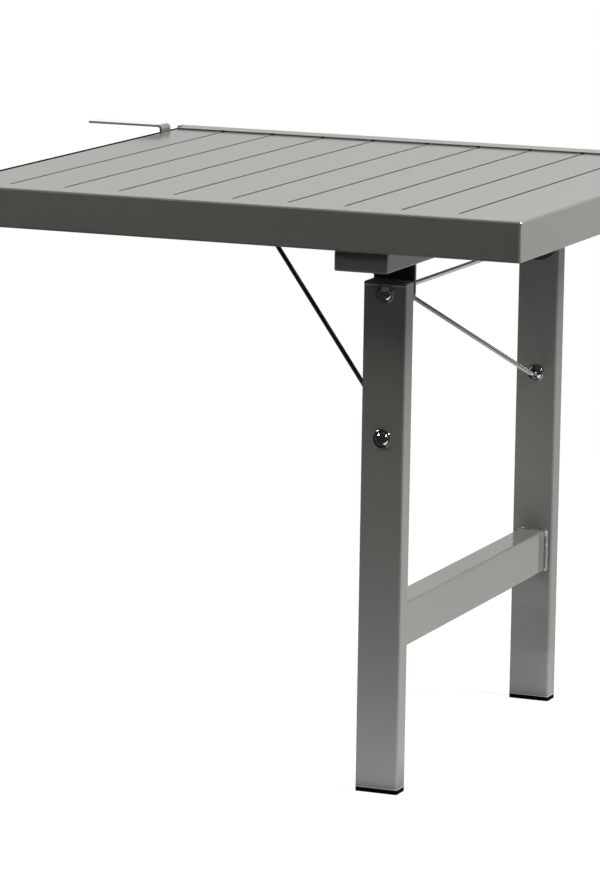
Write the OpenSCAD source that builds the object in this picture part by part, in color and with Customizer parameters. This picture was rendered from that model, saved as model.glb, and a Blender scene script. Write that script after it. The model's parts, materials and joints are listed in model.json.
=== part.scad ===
// Slatted hanging table: a square slatted top that a pair of flat hanger bars
// carries at one end and a folding leg frame with a wire brace at the other.
// X runs from the hanging end (-X) to the leg end (+X), Y across, Z up, floor at 0.

/* [Table top] */
// Length of the top, from the hanging end to the leg end
top_length = 767.5; // [700:0.5:1000]
// Width of the top, across the two legs
top_width = 770; // [600:5:1000]
// Height of the rails' top edge above the floor
top_height = 740; // [700:5:780]
// Height of the outer rails
rail_height = 50; // [44:1:70]
// Thickness of the rails' hollow section
rail_depth = 20; // [18:1:30]
// Wall of the rails' hollow section
rail_wall = 2; // [1.6:0.1:2.4]
// Reach of the lip over the slats and of the ledge under them
lip_reach = 20; // [12:1:26]
// Thickness of the lip, which stands proud of the slats
lip_thick = 2; // [1.2:0.1:3]
// Thickness of the ledge that carries the slats
ledge_thick = 2; // [1.6:0.1:3]
// Radius of the rails' long edges
edge_round = 3; // [2.5:0.1:4]
// Radius of the two outer corners at the leg end
corner_round = 4; // [2:0.5:8]
// Thickness of the plastic end plates on the open rail ends
end_plate = 2; // [1.5:0.1:4]
// Length of the long rails' hollow sections past the rail under the slats
rail_overrun = 8.5; // [6:0.5:12]
// Depth of the plug behind each end plate
end_plug = 14; // [8:1:20]
// Width of the dark strip on the first slat's free side
strip_width = 9.5; // [8:0.5:9.5]
// Height of that strip
strip_height = 12; // [8:0.5:13]
// Drop of that strip's top below the slats
strip_drop = 0.4; // [0:0.1:2]
// Thickness of the rail under the slats at the hanging end
head_rail_depth = 25; // [20:1:40]

/* [Slats] */
// Number of slats
slat_count = 10; // [10:1:10]
// Width by which the fifth slat exceeds the others
middle_slat_extra = 4.5; // [0:0.5:8]
// Width by which the first slat falls short of the others
first_slat_cut = 4.5; // [0:0.5:8]
// Space between the last slat and the rail at the leg end, under the lip
slat_end_space = 7; // [1:0.5:10]
// Open joint between two slats
slat_gap = 4; // [1.5:0.1:6]
// Height of a slat's hollow section
slat_height = 14; // [10:0.5:18]
// Wall and web of a slat
slat_wall = 1.6; // [1.2:0.1:2.2]
// Radius of a slat's top edges
slat_round = 1; // [0.5:0.1:1.4]

/* [Middle beam and catch] */
// Width of the flat beam under the middle of the slats
beam_width = 40; // [32:1:60]
// Height of that beam
beam_height = 12; // [10:0.5:14]
// Wall of that beam
beam_wall = 1.6; // [1.2:0.1:2.4]
// Thickness of the catch's base and hook
catch_thick = 3.7; // [3:0.1:5]
// Width of the hook, between the two brace rods
hook_width = 13; // [8:1:14]
// Length of the catch's base along the beam
catch_length = 62; // [56:1:80]
// Width of the catch's base
catch_width = 28; // [24:1:32]

/* [Crossbar and hinge plates] */
// Width of the flat tube under the rails above the legs
crossbar_width = 69; // [60:1:90]
// Height of that tube
crossbar_height = 25; // [20:1:35]
// Wall of that tube
crossbar_wall = 2; // [1.6:0.1:3]
// Radius of that tube's edges
crossbar_round = 2.5; // [2:0.1:4]
// Distance of its ends from the faces of the long rails
crossbar_setback = 7; // [4:0.5:8]
// Thickness of its end plugs
crossbar_plug = 2.2; // [1.5:0.1:2.4]
// Width of the hinge plates
plate_width = 54; // [46:1:60]
// Shift of the hinge plates from the pivot towards the leg end
plate_shift = 1; // [0:0.5:4]
// Thickness of the hinge plates
plate_thick = 5; // [3:0.5:8]
// Drop of the fold pivot below the crossbar
pivot_drop = 36; // [34:0.5:50]

/* [Leg frame] */
// Distance of the legs' centre line from the leg end of the top
leg_inset = 206; // [120:1:300]
// Distance of each leg's outer face from the long side of the top
leg_side_inset = 88; // [60:1:140]
// Width of the leg tube
leg_width = 56; // [50:1:64]
// Depth of the leg tube
leg_depth = 28; // [24:1:36]
// Wall of the leg and stretcher tubes
leg_wall = 2; // [1.5:0.1:3]
// Radius of the leg and stretcher edges
leg_round = 3; // [2.5:0.1:5]
// Height of the leg's top end above the fold pivot
leg_above_pivot = 11; // [10:0.5:14]
// Height of the stretcher's lower edge above the floor
stretcher_floor_height = 179; // [120:1:250]
// Width of the stretcher tube across the leg frame's plane
stretcher_width = 37; // [24:1:40]
// Height of the stretcher tube
stretcher_height = 56; // [40:1:64]
// Height of the visible part of the foot caps
foot_height = 5.5; // [4:0.5:12]
// Width and depth of the groove round the middle of the foot caps
foot_groove = 0.8; // [0.4:0.1:1.2]
// Depth of the foot caps' plugs inside the legs
foot_plug = 22; // [14:1:40]
// Depth of the plugs in the legs' top ends
leg_plug = 5; // [3:0.5:6]
// Height of the upright edge of those plugs' caps
leg_cap_edge = 2.4; // [1:0.1:3]
// Whole height of those caps, up to their flat middle
leg_cap_height = 5; // [3:0.1:5.5]
// Width of the slope round those caps
leg_cap_slope = 6; // [3:0.5:8]

/* [Pivots and brace] */
// Diameter of the pivot rod and of the brace rods
rod_dia = 6; // [5:0.5:7]
// Distance of the brace pivot below the fold pivot
brace_drop = 180.5; // [150:0.5:220]
// Distance of the brace's end from the legs' centre line
brace_reach = 306; // [260:1:330]
// Distance of the rods' bend from the leg's inner face
brace_bend = 14; // [10:0.5:18]
// Half of the space between the rod ends in the brace block
brace_spread = 12; // [12:0.5:14]
// Diameter of the round block that joins the brace rods
block_dia = 16; // [14:0.5:18]
// Length of that block
block_length = 52; // [50:1:60]
// Diameter of the domed caps on the legs' outer faces
cap_dia = 24; // [18:0.5:28]
// Height of the domed caps
cap_height = 6; // [5:0.5:8]
// Diameter of the domed washers on the legs' inner faces
inner_cap_dia = 22; // [18:0.5:26]
// Height of those washers
inner_cap_height = 4; // [3:0.5:5]
// Thickness of the nylon washers between legs and hinge plates
washer_thick = 1; // [0.8:0.1:2]
// Diameter of the nylon washers
washer_dia = 20; // [14:1:26]

/* [Hanger bars] */
// Reach of the hanger bars past the end of the top
hanger_reach = 110.5; // [60:0.5:140]
// Width of the hanger bars
hanger_width = 30; // [24:1:40]
// Thickness of the hanger bars
hanger_thick = 3; // [2:0.5:4]
// Height of the hanger bars' top face above the rails
hanger_rise = 8.5; // [8:0.5:20]
// Inner radius of the hanger bars' bend
hanger_bend = 3; // [2:0.5:4]
// Distance of each hanger bar's centre line from the long side of the top
hanger_inset = 79; // [60:1:150]
// Distance of the bars' lower ends above the rails' bottom edge
hanger_foot = 4; // [2:0.5:6]

/* [Fasteners] */
// Diameter of the frame screws
screw_dia = 5; // [4:0.5:5]
// Diameter of the frame screws' heads
screw_head = 9; // [8:0.5:10]
// Height of the screw heads
screw_head_height = 2.5; // [2:0.1:3]
// Length of a frame screw's thread past the wall that it holds
screw_grip = 6; // [4:0.5:8]
// Distance between the two screws of a pair on a hanger bar
hanger_screw_pitch = 14; // [12:0.5:16]
// Distance between the two crossbar screws at each end
crossbar_screw_pitch = 36; // [30:1:44]

/* [Clearances] */
// Space between the hanger bars and the first slat
strap_play = 1; // [0.5:0.1:2]
// Radial fit of a rod in a fixed hole
rod_fit = 0.05; // [0.03:0.01:0.08]
// Radial running clearance of a rod in a turning hole
rod_play = 0.08; // [0.05:0.01:0.1]
// Radial clearance round a screw
screw_play = 0.25; // [0.15:0.05:0.4]
// Gap between a plug and the tube around it
plug_play = 0.15; // [0.1:0.05:0.3]
// Gap at cut-outs and beside turning pieces
side_play = 0.3; // [0.25:0.05:0.5]

/* [Hidden] */
$fn = 48;

x_right = (top_length + hanger_reach) / 2;
x_left = x_right - top_length;
y_side = top_width / 2;

z_rail = top_height - rail_height;
z_slat_top = top_height - lip_thick;
z_slat = z_slat_top - slat_height;
z_beam = z_slat - beam_height;
z_crossbar = z_rail - crossbar_height;
z_pivot = z_crossbar - pivot_drop;
z_brace = z_pivot - brace_drop;
z_leg_top = z_pivot + leg_above_pivot;
z_block = z_beam - catch_thick - side_play - block_dia / 2;

x_leg = x_right - leg_inset;
x_block = x_leg - brace_reach;
y_leg_out = y_side - leg_side_inset;
y_leg_in = y_leg_out - leg_depth;
y_plate = y_leg_in - washer_thick;

x_slats = x_left + strap_play - first_slat_cut;
slats_length = x_right - rail_depth - slat_end_space - x_slats;
slat_width = (slats_length - middle_slat_extra - (slat_count - 1) * slat_gap) / slat_count;
slat_pitch = slat_width + slat_gap;
middle_slat = ceil(slat_count / 2);
slat_length = top_width - 2 * (rail_depth + side_play);

rod_r = rod_dia / 2;
screw_y = y_side - rail_depth + rail_wall + screw_head / 2 - 0.5;
hanger_y = y_side - hanger_inset;
hanger_screw_z = (z_rail + z_slat) / 2;
catch_screw_x = catch_length / 2 - screw_head / 2 - 2;
catch_shift = 4;
hook_lip_angle = 66;
bend_point = [x_leg, -y_leg_in + brace_bend, z_brace];
block_point = [x_block, -brace_spread, z_block];
overlap = 1;

paint = "#8b8e86";
paint_dark = "#5c5e58";
plastic = "#1d1e1d";
plastic_grey = "#5a5c57";
steel = "#b9bcbf";
chrome = "#dcdfe2";
nylon = "#d8d6cc";

// A rectangle from the origin with round corners
module rounded_rect(w, h, r) {
  translate([r, 0]) square([w - 2 * r, h]);
  translate([0, r]) square([w, h - 2 * r]);
  for (x = [r, w - r], y = [r, h - r]) translate([x, y]) circle(r);
}

// The same rectangle, centred
module centred_rect(w, h, r) {
  translate([-w / 2, -h / 2]) rounded_rect(w, h, r);
}

// The cross-section of a rectangular tube, centred
module tube_section(w, h, r, wall) {
  difference() {
    centred_rect(w, h, r);
    centred_rect(w - 2 * wall, h - 2 * wall, max(r - wall, 0.5));
  }
}

// A round bar from one point to another
module bar_between(a, b, r) {
  d = b - a;
  translate(a)
    rotate([0, acos(d[2] / norm(d)), atan2(d[1], d[0])])
      cylinder(h = norm(d), r = r);
}

// A round bar along Y, centred on the origin
module bar_y(length, r) {
  rotate([90, 0, 0]) cylinder(h = length, r = r, center = true);
}

// The same shape on the back side of the table
module back() {
  mirror([0, 1, 0]) children();
}

// A screw whose head lies below the origin and whose thread points up
module screw(length) {
  cylinder(h = length, d = screw_dia);
  intersection() {
    translate([0, 0, -screw_head_height]) cylinder(h = screw_head_height, d = screw_head);
    translate([0, 0, screw_head / 2 - screw_head_height + 0.6]) sphere(d = screw_head + 1.2);
  }
}

// The hole that a screw passes, through a wall at the origin
module screw_hole(depth) {
  cylinder(h = depth, d = screw_dia + 2 * screw_play, center = true);
}

// The outline of a rail without its hollow: box, lip and ledge
module rail_outline() {
  rounded_rect(rail_depth, rail_height, edge_round);
  translate([edge_round, rail_height - lip_thick])
    square([rail_depth + lip_reach - edge_round, lip_thick]);
  translate([rail_depth - rail_wall, z_slat - z_rail - ledge_thick])
    square([rail_wall + lip_reach, ledge_thick]);
}

// The cross-section of a rail
module rail_section() {
  difference() {
    rail_outline();
    translate([rail_wall, rail_wall])
      rounded_rect(rail_depth - 2 * rail_wall, rail_height - rail_wall - max(rail_wall, lip_thick),
                   max(edge_round - rail_wall, 0.5));
  }
}

// A rail along +X with its outer face on the XZ plane
module rail_bar(length) {
  rotate([90, 0, 90]) linear_extrude(length) rail_section();
}

// The block that a mitre takes away, turned from the corner at the front
module mitre_block(turn) {
  translate([x_right, -y_side, z_rail - overlap])
    rotate([0, 0, turn])
      cube([4 * (rail_depth + lip_reach), 4 * (rail_depth + lip_reach), rail_height + 2 * overlap]);
}

// The top's outline, which rounds the two corners at the leg end
module corner_outline() {
  translate([x_left - top_length, -y_side, z_rail - overlap])
    linear_extrude(rail_height + 2 * overlap)
      rounded_rect(2 * top_length, top_width, corner_round);
}

// The block that cuts the lip and the ledge back to the first slat
module overrun_block() {
  translate([x_left - rail_overrun - overlap, -y_side + rail_depth, z_rail - overlap])
    cube([rail_overrun + overlap, 2 * lip_reach, rail_height + 2 * overlap]);
}

// The places of the crossbar screws at the front, under the crossbar's upper wall
module crossbar_screw_places() {
  for (side = [-1, 1])
    translate([x_leg + side * crossbar_screw_pitch / 2, -screw_y, z_rail - crossbar_wall]) children();
}

// The long rail at the front
module rail_front() {
  color(paint)
    difference() {
      intersection() {
        translate([x_left - rail_overrun + end_plate, -y_side, z_rail])
          rail_bar(top_length + rail_overrun - end_plate);
        corner_outline();
      }
      mitre_block(45);
      overrun_block();
      crossbar_screw_places() screw_hole(4 * (crossbar_wall + rail_wall));
    }
}

// The rail across the leg end
module rail_leg_end() {
  color(paint)
    difference() {
      intersection() {
        translate([x_right, -y_side, z_rail]) rotate([0, 0, 90]) rail_bar(top_width);
        corner_outline();
      }
      mitre_block(135);
      back() mitre_block(135);
    }
}

// The places of the screws in one hanger bar, at the front
module hanger_screw_places() {
  for (side = [-1, 1])
    translate([x_left - hanger_thick, -hanger_y, hanger_screw_z + side * hanger_screw_pitch / 2])
      rotate([0, 90, 0]) children();
}

// The slice of a long rail's ledge that a piece between the rails is cut round
module ledge_notch() {
  translate([x_left - overlap, -y_side + rail_depth - overlap, z_slat - ledge_thick - side_play])
    cube([head_rail_depth + 2 * overlap, lip_reach + side_play + overlap, ledge_thick + side_play + overlap]);
}

// The rail under the slats across the hanging end
module rail_hanging_end() {
  h = z_slat - z_rail;
  color(paint)
    difference() {
      translate([x_left + head_rail_depth / 2, 0, z_rail + h / 2])
        rotate([90, 0, 0])
          linear_extrude(top_width - 2 * rail_depth, center = true)
            tube_section(head_rail_depth, h, edge_round, rail_wall);
      ledge_notch();
      back() ledge_notch();
      hanger_screw_places() screw_hole(4 * hanger_thick);
      back() hanger_screw_places() screw_hole(4 * hanger_thick);
    }
}

// The plastic plate and plug that close a long rail's open end
module end_plate_front() {
  color(plastic)
    translate([x_left - rail_overrun, -y_side, z_rail])
      rotate([90, 0, 90]) {
        linear_extrude(end_plate)
          intersection() {
            rail_outline();
            square([rail_depth, rail_height]);
          }
        linear_extrude(end_plate + end_plug)
          translate([rail_wall + plug_play, rail_wall + plug_play])
            rounded_rect(rail_depth - 2 * (rail_wall + plug_play),
                         rail_height - rail_wall - max(rail_wall, lip_thick) - 2 * plug_play,
                         max(edge_round - rail_wall, 0.5));
      }
}

// The room for a hanger bar's upright in the dark strip
module strip_notch() {
  translate([x_left - hanger_thick - side_play, -hanger_y - hanger_width / 2 - side_play, z_slat])
    cube([hanger_thick + side_play + strap_play + overlap, hanger_width + 2 * side_play, 2 * slat_height]);
}

// The dark strip that edges the first slat between the long rails
module edge_strip() {
  color(plastic)
    difference() {
      translate([x_left + strap_play - strip_width, 0, z_slat_top - strip_drop - strip_height])
        rotate([90, 0, 0])
          linear_extrude(slat_length, center = true) rounded_rect(strip_width, strip_height, 1.2);
      strip_notch();
      back() strip_notch();
    }
}

// The cross-section of a slat: three cells under a flat top
module slat_section(width) {
  cell = (width - 4 * slat_wall) / 3;
  difference() {
    union() {
      square([width, slat_height - slat_round]);
      translate([slat_round, 0]) square([width - 2 * slat_round, slat_height]);
      for (x = [slat_round, width - slat_round])
        translate([x, slat_height - slat_round]) circle(slat_round);
    }
    for (i = [0 : 2])
      translate([slat_wall + i * (cell + slat_wall), slat_wall])
        square([cell, slat_height - 2 * slat_wall]);
  }
}

// One slat, counted from the hanging end
module slat(number) {
  cut = number == 1 ? first_slat_cut : 0;
  extra = number == middle_slat ? middle_slat_extra : 0;
  shift = number > middle_slat ? middle_slat_extra : 0;
  color(paint)
    translate([x_slats + (number - 1) * slat_pitch + cut + shift, 0, z_slat])
      rotate([90, 0, 0])
        linear_extrude(slat_length, center = true) slat_section(slat_width + extra - cut);
}

// The flat beam under the middle of the slats
module middle_beam() {
  x_start = x_left + head_rail_depth;
  x_end = x_right - rail_depth;
  color(paint)
    difference() {
      translate([x_start, 0, z_beam + beam_height / 2])
        rotate([90, 0, 90])
          linear_extrude(x_end - x_start) tube_section(beam_width, beam_height, 2, beam_wall);
      translate([x_end - lip_reach - side_play, -beam_width, z_slat - ledge_thick - side_play])
        cube([lip_reach + side_play + overlap, 2 * beam_width, ledge_thick + side_play + overlap]);
      catch_screw_places() screw_hole(4 * catch_thick);
    }
}

// The places of the catch's two screws, under its base
module catch_screw_places() {
  for (side = [-1, 1])
    translate([x_block + catch_shift + side * catch_screw_x, 0, z_beam - catch_thick]) children();
}

// The catch under the beam: a base and a hook that is open away from the legs
module brace_catch() {
  r_in = block_dia / 2 + side_play;
  r_out = r_in + catch_thick;
  color(plastic)
    difference() {
      union() {
        translate([x_block + catch_shift - catch_length / 2, -catch_width / 2, z_beam - catch_thick])
          cube([catch_length, catch_width, catch_thick]);
        translate([x_block, 0, z_block])
          rotate([90, 0, 0])
            linear_extrude(hook_width, center = true)
              difference() {
                circle(r_out);
                circle(r_in);
                translate([-2 * r_out, -2 * r_out]) square([2 * r_out, 4 * r_out]);
                rotate(-hook_lip_angle) translate([0, -4 * r_out]) square([2 * r_out, 4 * r_out]);
              }
      }
      catch_screw_places() screw_hole(4 * catch_thick);
    }
}

// The screws of the catch
module catch_screws() {
  color(steel)
    catch_screw_places() screw(catch_thick + beam_wall + screw_grip / 2);
}

// The flat tube across the rails above the legs, with holes that let the screw heads in
module crossbar() {
  color(paint)
    difference() {
      translate([x_leg, 0, z_crossbar + crossbar_height / 2])
        rotate([90, 0, 0])
          linear_extrude(top_width - 2 * crossbar_setback, center = true)
            tube_section(crossbar_width, crossbar_height, crossbar_round, crossbar_wall);
      for (turn = [0, 1])
        mirror([0, turn, 0])
          crossbar_screw_places() {
            screw_hole(4 * crossbar_wall);
            translate([0, 0, crossbar_wall - crossbar_height])
              cylinder(h = 4 * crossbar_wall, d = screw_head + 1, center = true);
          }
    }
}

// The plug in the crossbar's front end
module crossbar_plug_front() {
  inset = crossbar_wall + plug_play;
  color(plastic_grey)
    translate([x_leg, -y_side + crossbar_setback, z_crossbar + crossbar_height / 2])
      rotate([-90, 0, 0])
        linear_extrude(crossbar_plug)
          centred_rect(crossbar_width - 2 * inset, crossbar_height - 2 * inset,
                       max(crossbar_round - crossbar_wall, 0.5));
}

// The screws that hold the crossbar to the long rails
module crossbar_screws() {
  color(steel)
    for (turn = [0, 1])
      mirror([0, turn, 0])
        crossbar_screw_places() screw(crossbar_wall + rail_wall + screw_grip);
}

// The plate that hangs from the crossbar on the inner side of the front leg
module hinge_plate_front() {
  color(paint_dark)
    translate([x_leg, -y_plate, z_pivot])
      rotate([90, 0, 0])
        translate([0, 0, -plate_thick])
          linear_extrude(plate_thick)
            difference() {
              translate([plate_shift, 0]) {
                circle(d = plate_width);
                translate([-plate_width / 2, 0]) square([plate_width, pivot_drop]);
              }
              circle(rod_r + rod_play);
            }
}

// The outline of a hanger bar seen from the front: upright, bend and tongue
module hanger_outline() {
  r_out = hanger_bend + hanger_thick;
  z_top = top_height + hanger_rise;
  z_low = z_rail + hanger_foot;
  translate([x_left - hanger_thick, z_low]) square([hanger_thick, z_top - r_out - z_low]);
  translate([x_left - hanger_reach, z_top - hanger_thick])
    square([hanger_reach - r_out, hanger_thick]);
  translate([x_left - r_out, z_top - r_out])
    intersection() {
      difference() {
        circle(r_out);
        circle(hanger_bend);
      }
      square(r_out);
    }
}

// The bent flat bar at the front that carries the hanging end
module hanger_bar_front() {
  color(chrome)
    difference() {
      translate([0, -hanger_y, 0])
        rotate([90, 0, 0]) linear_extrude(hanger_width, center = true) hanger_outline();
      hanger_screw_places() screw_hole(4 * hanger_thick);
    }
}

// The screws of both hanger bars
module hanger_screws() {
  color(steel)
    for (turn = [0, 1])
      mirror([0, turn, 0])
        hanger_screw_places() screw(hanger_thick + rail_wall + screw_grip);
}

// The front leg: a tube with holes for the two pivots
module leg_front() {
  y_mid = -(y_leg_in + y_leg_out) / 2;
  color(paint)
    difference() {
      translate([x_leg, y_mid, foot_height])
        linear_extrude(z_leg_top - foot_height)
          tube_section(leg_width, leg_depth, leg_round, leg_wall);
      translate([x_leg, y_mid, z_pivot]) bar_y(2 * leg_depth, rod_r + rod_fit);
      translate([x_leg, y_mid, z_brace]) bar_y(2 * leg_depth, rod_r + rod_play);
    }
}

// The tube that ties the legs together, welded between their inner faces
module stretcher() {
  color(paint)
    translate([x_leg, 0, stretcher_floor_height + stretcher_height / 2])
      rotate([90, 0, 0])
        linear_extrude(2 * y_leg_in, center = true)
          tube_section(stretcher_width, stretcher_height, leg_round, leg_wall);
}

// The plastic foot of the front leg: sole, plug and gripping ribs
module foot_cap_front() {
  play = leg_wall + plug_play;
  w = leg_width - 2 * play;
  d = leg_depth - 2 * play;
  rib = 1.2;
  step = 3;
  color(plastic)
    translate([x_leg, -(y_leg_in + y_leg_out) / 2, 0]) {
      linear_extrude(foot_height)
        centred_rect(leg_width - 2 * foot_groove, leg_depth - 2 * foot_groove, leg_round);
      for (z = [0, foot_height / 2 + foot_groove / 2])
        translate([0, 0, z])
          linear_extrude(foot_height / 2 - foot_groove / 2) centred_rect(leg_width, leg_depth, leg_round);
      translate([0, 0, foot_height / 2])
        linear_extrude(foot_height / 2 + foot_plug)
          difference() {
            centred_rect(w - 2 * rib, d - 2 * rib, 1);
            centred_rect(w - 2 * rib - 5, d - 2 * rib - 5, 1);
          }
      for (z = [step : step : foot_plug - step])
        translate([0, 0, foot_height + z])
          linear_extrude(rib)
            difference() {
              centred_rect(w, d, 1);
              centred_rect(w - 2 * rib - 4, d - 2 * rib - 4, 1);
            }
    }
}

// The plug in the front leg's top end, with a hipped cap over the tube's edge
module leg_plug_front() {
  play = leg_wall + plug_play;
  color(plastic_grey)
    translate([x_leg, -(y_leg_in + y_leg_out) / 2, z_leg_top]) {
      translate([0, 0, -leg_plug])
        linear_extrude(leg_plug + leg_cap_edge / 2)
          centred_rect(leg_width - 2 * play, leg_depth - 2 * play, max(leg_round - leg_wall, 0.5));
      hull() {
        linear_extrude(leg_cap_edge) centred_rect(leg_width, leg_depth, leg_round);
        linear_extrude(leg_cap_height)
          centred_rect(leg_width - 2 * leg_cap_slope, leg_depth - 2 * leg_cap_slope, 1.5);
      }
    }
}

// A dome with a flat base on the XZ plane, rising towards -Y
module dome(dia, height) {
  sphere_r = (pow(dia / 2 - 1, 2) + pow(height - 1, 2)) / (2 * (height - 1));
  rotate([90, 0, 0]) {
    cylinder(h = 1, d = dia);
    translate([0, 0, 1])
      intersection() {
        translate([0, 0, height - 1 - sphere_r]) sphere(sphere_r);
        cylinder(h = height, d = dia);
      }
  }
}

// A domed cap on the end of a rod, with the base at the given Y
module rod_cap(y, z) {
  difference() {
    translate([x_leg, y, z]) dome(cap_dia, cap_height);
    translate([x_leg, y, z]) bar_y(2 * (cap_height - 2), rod_r + rod_fit);
  }
}

// The long rod on which the leg frame folds
module pivot_rod() {
  color(steel)
    translate([x_leg, 0, z_pivot]) bar_y(2 * (y_leg_out + cap_height - 2.5), rod_r);
}

// The cap on the pivot rod's front end
module pivot_cap_front() {
  color(chrome) rod_cap(-y_leg_out, z_pivot);
}

// The nylon washer between the front leg and its hinge plate
module pivot_washer_front() {
  t = washer_thick - side_play;
  color(nylon)
    translate([x_leg, -y_leg_in + t / 2, z_pivot])
      difference() {
        bar_y(t, washer_dia / 2);
        bar_y(2 * t, rod_r + rod_fit);
      }
}

// The front brace rod: a pivot end through the leg, a bend and the long run
module brace_rod_front() {
  color(steel) {
    bar_between([x_leg, -y_leg_out - cap_height + 2.5, z_brace], bend_point, rod_r);
    translate(bend_point) sphere(rod_r);
    bar_between(bend_point, block_point, rod_r);
  }
}

// The cap on the front brace rod's outer end
module brace_cap_front() {
  color(chrome) rod_cap(-y_leg_out - side_play, z_brace);
}

// The domed washer on the front brace rod, inside the leg
module brace_washer_front() {
  color(chrome)
    difference() {
      translate([x_leg, -y_leg_in + side_play, z_brace])
        rotate([0, 0, 180]) dome(inner_cap_dia, inner_cap_height);
      translate([x_leg, -y_leg_in, z_brace]) bar_y(4 * inner_cap_height, rod_r + rod_fit);
    }
}

// The round block that joins the two rods and sits in the catch
module brace_block() {
  run = block_point - bend_point;
  past = run / norm(run) * side_play;
  color(plastic)
    difference() {
      translate([x_block, 0, z_block]) bar_y(block_length, block_dia / 2);
      bar_between(bend_point, block_point + past, rod_r + rod_fit);
      back() bar_between(bend_point, block_point + past, rod_r + rod_fit);
    }
}

rail_front();
back() rail_front();  // rail_back
rail_leg_end();
edge_strip();
rail_hanging_end();
end_plate_front();
back() end_plate_front();  // end_plate_back
for (i = [1 : slat_count])
  slat(i);
middle_beam();
brace_catch();
catch_screws();
crossbar();
crossbar_plug_front();
back() crossbar_plug_front();  // crossbar_plug_back
crossbar_screws();
hinge_plate_front();
back() hinge_plate_front();  // hinge_plate_back
hanger_bar_front();
back() hanger_bar_front();  // hanger_bar_back
hanger_screws();
leg_front();
back() leg_front();  // leg_back
stretcher();
foot_cap_front();
back() foot_cap_front();  // foot_cap_back
leg_plug_front();
back() leg_plug_front();  // leg_plug_back
pivot_rod();
pivot_cap_front();
back() pivot_cap_front();  // pivot_cap_back
pivot_washer_front();
back() pivot_washer_front();  // pivot_washer_back
brace_rod_front();
back() brace_rod_front();  // brace_rod_back
brace_block();
brace_cap_front();
back() brace_cap_front();  // brace_cap_back
brace_washer_front();
back() brace_washer_front();  // brace_washer_back
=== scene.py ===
import json
import math
import random

import bmesh
import bpy
from mathutils import Matrix, Vector


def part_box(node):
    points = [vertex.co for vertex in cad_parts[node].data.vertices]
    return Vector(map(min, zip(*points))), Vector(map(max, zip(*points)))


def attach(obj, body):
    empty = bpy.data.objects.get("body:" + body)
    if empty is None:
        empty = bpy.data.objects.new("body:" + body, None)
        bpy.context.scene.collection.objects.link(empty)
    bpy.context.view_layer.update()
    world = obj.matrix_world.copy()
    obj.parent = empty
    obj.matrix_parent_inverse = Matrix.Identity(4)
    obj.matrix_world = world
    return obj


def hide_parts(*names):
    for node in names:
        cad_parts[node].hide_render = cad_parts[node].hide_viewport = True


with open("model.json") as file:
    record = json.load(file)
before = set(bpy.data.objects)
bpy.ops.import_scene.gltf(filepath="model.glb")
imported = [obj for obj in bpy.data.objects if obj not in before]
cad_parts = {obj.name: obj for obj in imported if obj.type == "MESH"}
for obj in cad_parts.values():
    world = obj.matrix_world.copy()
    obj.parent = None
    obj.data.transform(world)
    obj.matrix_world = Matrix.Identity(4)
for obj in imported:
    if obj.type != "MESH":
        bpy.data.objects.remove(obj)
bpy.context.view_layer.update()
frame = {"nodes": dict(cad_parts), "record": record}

MM = 0.001
# The sign of y and the name of each side that has a leg
SIDES = ((-1, "front"), (1, "back"))
# Radius of the smallest ring of a turned shape, which a face closes
CENTRE_RING = 0.2 * MM
# Rings of a weld bead from one ripple to the next
RIPPLE_STEPS = 5
# Edges that bend by more than this stay sharp
SHARP_ANGLE = math.radians(38)

bl_info = {
    "name": "Hanging Slatted Table",
    "version": (1, 0, 0),
    "blender": (4, 5, 0),
    "location": "View3D > Sidebar > Table",
    "description": "Dresses a slatted table that hangs at one end and folds its leg frame",
    "category": "Object",
}


def color_prop(name, description, default):
    """The setting of a colour"""
    return bpy.props.FloatVectorProperty(
        name=name, description=description, size=3, subtype="COLOR", min=0, max=1,
        default=default)


def factor_prop(name, description, default):
    """The setting of a share between 0 and 1"""
    return bpy.props.FloatProperty(
        name=name, description=description, min=0, max=1, subtype="FACTOR", default=default)


def length_prop(name, description, default, smallest=0):
    """The setting of a length in metres"""
    return bpy.props.FloatProperty(
        name=name, description=description, min=smallest, unit="LENGTH", precision=6,
        default=default)


def angle_prop(name, description, degrees):
    """The setting of an angle"""
    return bpy.props.FloatProperty(
        name=name, description=description, subtype="ANGLE", default=math.radians(degrees))


def strength_prop(name, description, default):
    """The setting of a brightness, where 1 is white"""
    return bpy.props.FloatProperty(name=name, description=description, min=0, default=default)


def power_prop(name, description, default):
    """The setting of a lamp's power in watts"""
    return bpy.props.FloatProperty(
        name=name, description=description, min=0, unit="POWER", default=default)


class PaintSettings(bpy.types.PropertyGroup):
    """The powder coat on the top and the leg frame"""

    top_color: color_prop(
        "Top Color", "Colour of the coat on rails and slats", (0.206, 0.219, 0.184))
    leg_color: color_prop(
        "Leg Color", "Colour of the coat on legs and stretcher", (0.206, 0.219, 0.184))
    dark_color: color_prop(
        "Dark Color", "Colour of the coat on the hinge plates", (0.055, 0.056, 0.05))
    # Painted highlight: the lighter coat on the rims at the leg tubes' ends stands in for the
    # light their eased edges catch
    rim_highlight_color: color_prop(
        "Edge Color", "Colour of the coat where it is worn at the tubes' ends",
        (0.50, 0.52, 0.46))
    roughness: factor_prop("Roughness", "Roughness of the satin coat", 0.36)
    gloss: factor_prop("Gloss", "Weight of the smooth skin over the coat", 0.63)
    top_skin: factor_prop("Top Skin", "Roughness of the skin on the top and its plates", 0.14)
    leg_skin: factor_prop("Leg Skin", "Roughness of the skin on legs and stretcher", 0.06)
    # Roughness of the skin on the rims that carry the painted highlight
    edge_skin: factor_prop("Edge Skin", "Roughness of the skin where the coat is worn", 0.2)
    peel_depth: length_prop("Peel Depth", "Depth of the coat's orange peel", 0.006 * MM)
    fleck: factor_prop("Fleck", "Contrast of the fine grains in the coat", 0.07)
    # Painted shade: the coat's share of brightness left in the shaded gaps and joints of the top
    painted_shade_tone: factor_prop(
        "Joint Tone", "Share of the coat's brightness that is left in the joints", 0.1)


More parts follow.
